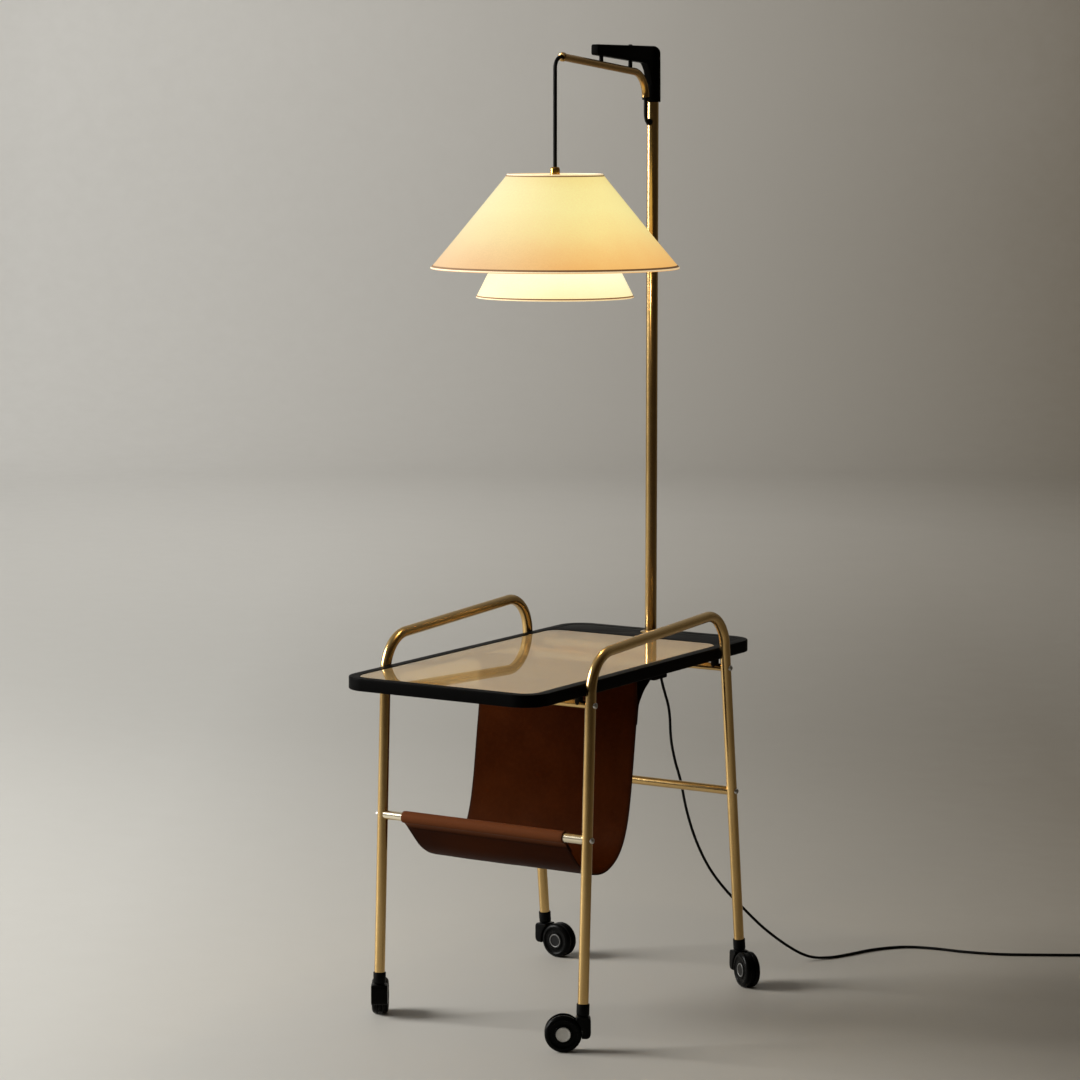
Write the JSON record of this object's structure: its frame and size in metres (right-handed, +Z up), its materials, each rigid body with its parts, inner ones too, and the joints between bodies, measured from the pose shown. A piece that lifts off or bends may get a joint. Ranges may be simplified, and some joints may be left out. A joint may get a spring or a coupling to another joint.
{
  "type": "floor lamp with side table",
  "caption": "Floor lamp on a side table: glass top and leather magazine sling between bent tube frames on casters, pole, bracket and a hanging two-tier fabric shade.",
  "frame": {"origin": "floor point under the middle of the table top", "axes": "+Z up, -Y to the front edge of the table, +Y to the pole, +X to the right seen from the front"},
  "size_m": [0.8711, 1.2478, 1.5082],
  "materials": {
    "antique_brass": "satin antique brass",
    "black_lacquer": "satin black lacquer",
    "black_steel": "satin black",
    "bronze_glass": "clear bronze tint, polished",
    "black_rubber": "matt",
    "screw_steel": "bright zinc",
    "black_plastic": "matt",
    "dark_leather": "smooth, slightly glossy dark brown",
    "black_cord": "smooth round cord",
    "cream_plastic": "gloss",
    "opal_glass": "warm opal",
    "bright_metal": "polished",
    "outer_fabric": "fine woven cream cloth",
    "inner_fabric": "fine woven off-white cloth",
    "wheel_plastic": "moulded, lightly glossy",
    "grey_cap": "light grey"
  },
  "bodies": {
    "base": {"left_side_frame": "antique_brass", "right_side_frame": "antique_brass", "front_sling_bar": "antique_brass", "rear_stretcher": "antique_brass", "front_top_rail": "antique_brass", "rear_top_rail": "antique_brass", "sling_hanger_bar": "black_steel", "tabletop_frame": "black_lacquer", "tabletop_glass": "bronze_glass", "glass_gasket": "black_rubber", "tabletop_spacers": "black_rubber", "frame_screws": "screw_steel", "tabletop_screws": "screw_steel", "mast_socket": "antique_brass", "socket_nut": "black_steel", "socket_end_plug": "black_plastic", "cord_outlet": "black_plastic", "cord_strain_relief": "black_rubber", "leather_sling": "dark_leather", "mains_cord": "black_cord", "cord_coil": "black_cord", "coil_tie": "black_plastic", "plug_body": "black_plastic", "plug_pins": "bright_metal", "caster_ferrules": "black_plastic"},
    "mast": {"pole": "antique_brass", "pole_wire": "black_cord", "pole_grommet": "black_rubber", "head_bracket": "black_lacquer", "bracket_posts": "black_steel", "bracket_screws": "screw_steel", "cord_tube": "antique_brass", "tube_bushings": "black_rubber", "link_cord": "black_cord", "pendant_cord_top": "black_cord"},
    "pendant": {"pendant_cord": "black_cord", "cord_grip": "antique_brass", "lampholder": "black_plastic", "lampholder_ring": "black_plastic", "bulb_glass": "opal_glass", "bulb_cap": "bright_metal", "outer_shade": "outer_fabric", "outer_shade_frame": "antique_brass", "inner_shade": "inner_fabric", "inner_shade_frame": "antique_brass"},
    "switch": {"switch_bar": "cream_plastic"},
    "swivel_fl": {"hood_fl": "black_steel"},
    "wheel_fl": {"wheels_fl": "wheel_plastic", "axle_fl": "grey_cap"},
    "swivel_fr": {"hood_fr": "black_steel"},
    "wheel_fr": {"wheels_fr": "wheel_plastic", "axle_fr": "grey_cap"},
    "swivel_rl": {"hood_rl": "black_steel"},
    "wheel_rl": {"wheels_rl": "wheel_plastic", "axle_rl": "grey_cap"},
    "swivel_rr": {"hood_rr": "black_steel"},
    "wheel_rr": {"wheels_rr": "wheel_plastic", "axle_rr": "grey_cap"}
  },
  "joints": [
    {"name": "mast_swivel", "type": "hinge", "parent": "base", "child": "mast", "pos_m": [0, 0.3, 0.5055], "axis": [0, 0, 1], "range_deg": [-90, 90]},
    {"name": "pendant_swing", "type": "hinge", "parent": "mast", "child": "pendant", "pos_m": [0, 0, 1.4675], "axis": [1, 0, 0], "range_deg": [-12, 12]},
    {"name": "switch_push", "type": "slide", "parent": "pendant", "child": "switch", "axis": [1, 0, 0], "range_m": [-0.003, 0.003]},
    {"name": "swivel_fl_turn", "type": "hinge", "parent": "base", "child": "swivel_fl", "pos_m": [-0.185, -0.22012, 0.054], "axis": [0, 0, 1], "continuous": true},
    {"name": "wheel_fl_roll", "type": "hinge", "parent": "swivel_fl", "child": "wheel_fl", "pos_m": [-0.20063, -0.19511, 0.02825], "axis": [-0.848, -0.5299, 0], "continuous": true},
    {"name": "swivel_fr_turn", "type": "hinge", "parent": "base", "child": "swivel_fr", "pos_m": [0.185, -0.22012, 0.054], "axis": [0, 0, 1], "continuous": true},
    {"name": "wheel_fr_roll", "type": "hinge", "parent": "swivel_fr", "child": "wheel_fr", "pos_m": [0.15998, -0.23575, 0.02825], "axis": [0.5299, -0.848, 0], "continuous": true},
    {"name": "swivel_rl_turn", "type": "hinge", "parent": "base", "child": "swivel_rl", "pos_m": [-0.185, 0.27096, 0.054], "axis": [0, 0, 1], "continuous": true},
    {"name": "wheel_rl_roll", "type": "hinge", "parent": "swivel_rl", "child": "wheel_rl", "pos_m": [-0.15566, 0.26787, 0.02825], "axis": [0.1045, 0.9945, 0], "continuous": true},
    {"name": "swivel_rr_turn", "type": "hinge", "parent": "base", "child": "swivel_rr", "pos_m": [0.185, 0.27096, 0.054], "axis": [0, 0, 1], "continuous": true},
    {"name": "wheel_rr_roll", "type": "hinge", "parent": "swivel_rr", "child": "wheel_rr", "pos_m": [0.20856, 0.2532, 0.02825], "axis": [0.6018, 0.7986, 0], "continuous": true}
  ]
}
